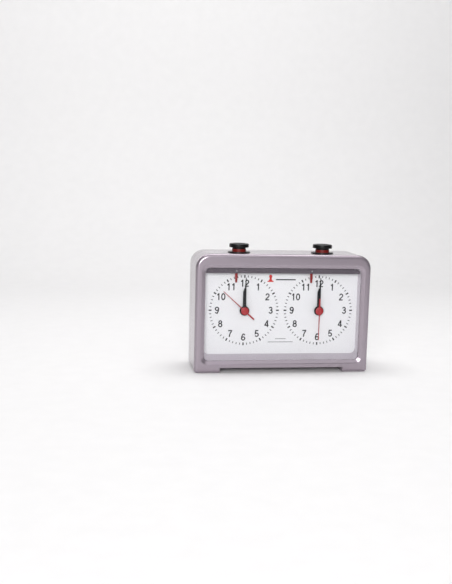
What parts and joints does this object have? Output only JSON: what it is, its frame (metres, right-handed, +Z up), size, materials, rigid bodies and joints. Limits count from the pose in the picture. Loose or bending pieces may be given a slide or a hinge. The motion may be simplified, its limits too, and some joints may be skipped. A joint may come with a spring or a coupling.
{
  "type": "chess clock",
  "caption": "Analogue chess clock with twin dials behind a clear window, falling flags, linked plungers on top and setting knobs at the back.",
  "frame": {"origin": "centre of the bounding box in plan, at the underside of the feet", "axes": "+X to the right as the players' dials are read, +Y to the back, +Z up"},
  "size_m": [0.164, 0.058, 0.1183],
  "materials": {
    "case_plastic": "gloss moulded, faint metallic",
    "clear_pane": "clear acrylic",
    "dial_face": "matt white, printed black",
    "black_plastic": "fine grain",
    "button_black": "gloss moulded",
    "ring_red": "gloss moulded",
    "flag_red": "gloss moulded",
    "hand_black": "satin paint",
    "hand_red": "satin paint",
    "steel": "bright zinc",
    "contact_brass": "spring brass",
    "beam_plastic": "natural acetal",
    "gear_plastic": "natural acetal",
    "cell_jacket": "plain foil jacket",
    "board": "solder resist",
    "copper": "lacquered winding",
    "magnet": "ferrite"
  },
  "bodies": {
    "case": {"front_frame": "case_plastic", "window_lens": "clear_pane", "dial_surround": "case_plastic", "dial_plate": "dial_face", "middle_housing": "case_plastic", "rear_cover": "case_plastic", "case_screws": "steel", "flag_rail": "black_plastic", "flag_pins": "steel", "left_button_collar": "button_black", "right_button_collar": "button_black", "rocker_bracket": "steel", "detent_spring": "steel", "switch_contacts": "contact_brass", "battery_cell": "cell_jacket", "battery_contacts": "steel", "circuit_board": "board", "quartz_crystal": "steel", "left_movement_cover": "black_plastic", "left_movement_base": "black_plastic", "left_coil": "copper", "left_stator": "steel", "right_movement_cover": "black_plastic", "right_movement_base": "black_plastic", "right_coil": "copper", "right_stator": "steel"},
    "battery_lid": {"battery_door": "case_plastic"},
    "rocker": {"rocker_beam": "beam_plastic"},
    "left_button": {"left_button_cap": "button_black", "left_button_ring": "ring_red", "left_plunger": "button_black"},
    "left_flag_arm": {"left_flag": "flag_red"},
    "left_minutes": {"left_cannon_pinion": "gear_plastic", "left_minute_hand": "hand_black"},
    "left_hours": {"left_hour_wheel": "gear_plastic", "left_hour_hand": "hand_black"},
    "left_setting": {"left_motion_wheel": "gear_plastic", "left_setting_knob": "button_black"},
    "left_seconds": {"left_second_wheel": "gear_plastic", "left_second_hand": "hand_red"},
    "left_third_arbor": {"left_third_wheel": "gear_plastic"},
    "left_centre": {"left_centre_wheel": "gear_plastic"},
    "left_step_arbor": {"left_step_wheel": "gear_plastic"},
    "left_rotor_arbor": {"left_rotor": "magnet"},
    "right_button": {"right_button_cap": "button_black", "right_button_ring": "ring_red", "right_plunger": "button_black"},
    "right_flag_arm": {"right_flag": "flag_red"},
    "right_minutes": {"right_cannon_pinion": "gear_plastic", "right_minute_hand": "hand_black"},
    "right_hours": {"right_hour_wheel": "gear_plastic", "right_hour_hand": "hand_black"},
    "right_setting": {"right_motion_wheel": "gear_plastic", "right_setting_knob": "button_black"},
    "right_seconds": {"right_second_wheel": "gear_plastic", "right_second_hand": "hand_red"},
    "right_third_arbor": {"right_third_wheel": "gear_plastic"},
    "right_centre": {"right_centre_wheel": "gear_plastic"},
    "right_step_arbor": {"right_step_wheel": "gear_plastic"},
    "right_rotor_arbor": {"right_rotor": "magnet"}
  },
  "joints": [
    {"name": "battery_door_open", "type": "hinge", "parent": "case", "child": "battery_lid", "pos_m": [0, 0.0219, 0.0109], "axis": [-1, 0, 0], "range_deg": [0, 80]},
    {"name": "rocker_tilt", "type": "hinge", "parent": "case", "child": "rocker", "pos_m": [0, -0.008, 0.093], "axis": [0, 1, 0], "range_deg": [-4.32, 4.32]},
    {"name": "left_button_press", "type": "slide", "parent": "case", "child": "left_button", "axis": [0, 0, 1], "range_m": [-0.003, 0.003]},
    {"name": "left_flag_swing", "type": "hinge", "parent": "case", "child": "left_flag_arm", "pos_m": [-0.0441, -0.0226, 0.0945], "axis": [0, -1, 0], "range_deg": [0, 62]},
    {"name": "left_minute_spin", "type": "hinge", "parent": "case", "child": "left_minutes", "pos_m": [-0.0353, -0.014, 0.057], "axis": [0, 1, 0], "continuous": true},
    {"name": "left_hour_spin", "type": "hinge", "parent": "case", "child": "left_hours", "pos_m": [-0.0353, -0.014, 0.057], "axis": [0, 1, 0], "continuous": true},
    {"name": "left_setting_spin", "type": "hinge", "parent": "case", "child": "left_setting", "pos_m": [-0.0353, 0.001, 0.045], "axis": [0, 1, 0], "continuous": true},
    {"name": "left_second_spin", "type": "hinge", "parent": "case", "child": "left_seconds", "pos_m": [-0.0353, -0.014, 0.057], "axis": [0, 1, 0], "continuous": true},
    {"name": "left_third_spin", "type": "hinge", "parent": "case", "child": "left_third_arbor", "pos_m": [-0.04646, -0.009, 0.06106], "axis": [0, 1, 0], "continuous": true},
    {"name": "left_centre_spin", "type": "hinge", "parent": "case", "child": "left_centre", "pos_m": [-0.0353, -0.0114, 0.057], "axis": [0, 1, 0], "continuous": true},
    {"name": "left_step_spin", "type": "hinge", "parent": "case", "child": "left_step_arbor", "pos_m": [-0.02477, -0.007, 0.06083], "axis": [0, 1, 0], "continuous": true},
    {"name": "left_rotor_spin", "type": "hinge", "parent": "case", "child": "left_rotor_arbor", "pos_m": [-0.02117, -0.005, 0.06707], "axis": [0, 1, 0], "continuous": true},
    {"name": "right_button_press", "type": "slide", "parent": "case", "child": "right_button", "axis": [0, 0, 1], "range_m": [-0.003, 0.003]},
    {"name": "right_flag_swing", "type": "hinge", "parent": "case", "child": "right_flag_arm", "pos_m": [0.0265, -0.0226, 0.0945], "axis": [0, -1, 0], "range_deg": [0, 62]},
    {"name": "right_minute_spin", "type": "hinge", "parent": "case", "child": "right_minutes", "pos_m": [0.0353, -0.014, 0.057], "axis": [0, 1, 0], "continuous": true},
    {"name": "right_hour_spin", "type": "hinge", "parent": "case", "child": "right_hours", "pos_m": [0.0353, -0.014, 0.057], "axis": [0, 1, 0], "continuous": true},
    {"name": "right_setting_spin", "type": "hinge", "parent": "case", "child": "right_setting", "pos_m": [0.0353, 0.001, 0.045], "axis": [0, 1, 0], "continuous": true},
    {"name": "right_second_spin", "type": "hinge", "parent": "case", "child": "right_seconds", "pos_m": [0.0353, -0.014, 0.057], "axis": [0, 1, 0], "continuous": true},
    {"name": "right_third_spin", "type": "hinge", "parent": "case", "child": "right_third_arbor", "pos_m": [0.02414, -0.009, 0.06106], "axis": [0, 1, 0], "continuous": true},
    {"name": "right_centre_spin", "type": "hinge", "parent": "case", "child": "right_centre", "pos_m": [0.0353, -0.0114, 0.057], "axis": [0, 1, 0], "continuous": true},
    {"name": "right_step_spin", "type": "hinge", "parent": "case", "child": "right_step_arbor", "pos_m": [0.04582, -0.007, 0.06083], "axis": [0, 1, 0], "continuous": true},
    {"name": "right_rotor_spin", "type": "hinge", "parent": "case", "child": "right_rotor_arbor", "pos_m": [0.04942, -0.005, 0.06707], "axis": [0, 1, 0], "continuous": true}
  ],
  "couplings": [
    {"joint": "rocker_tilt", "follows": "left_button_press", "rad_per_m": 25.126},
    {"joint": "left_hour_spin", "follows": "left_minute_spin", "ratio": 0.083333},
    {"joint": "left_setting_spin", "follows": "left_minute_spin", "ratio": -0.33333},
    {"joint": "left_third_spin", "follows": "left_second_spin", "ratio": -0.13333},
    {"joint": "left_centre_spin", "follows": "left_second_spin", "ratio": 0.016667},
    {"joint": "left_step_spin", "follows": "left_second_spin", "ratio": -6},
    {"joint": "left_rotor_spin", "follows": "left_second_spin", "ratio": 30},
    {"joint": "right_button_press", "follows": "left_button_press", "ratio": -1},
    {"joint": "right_hour_spin", "follows": "right_minute_spin", "ratio": 0.083333},
    {"joint": "right_setting_spin", "follows": "right_minute_spin", "ratio": -0.33333},
    {"joint": "right_third_spin", "follows": "right_second_spin", "ratio": -0.13333},
    {"joint": "right_centre_spin", "follows": "right_second_spin", "ratio": 0.016667},
    {"joint": "right_step_spin", "follows": "right_second_spin", "ratio": -6},
    {"joint": "right_rotor_spin", "follows": "right_second_spin", "ratio": 30}
  ]
}
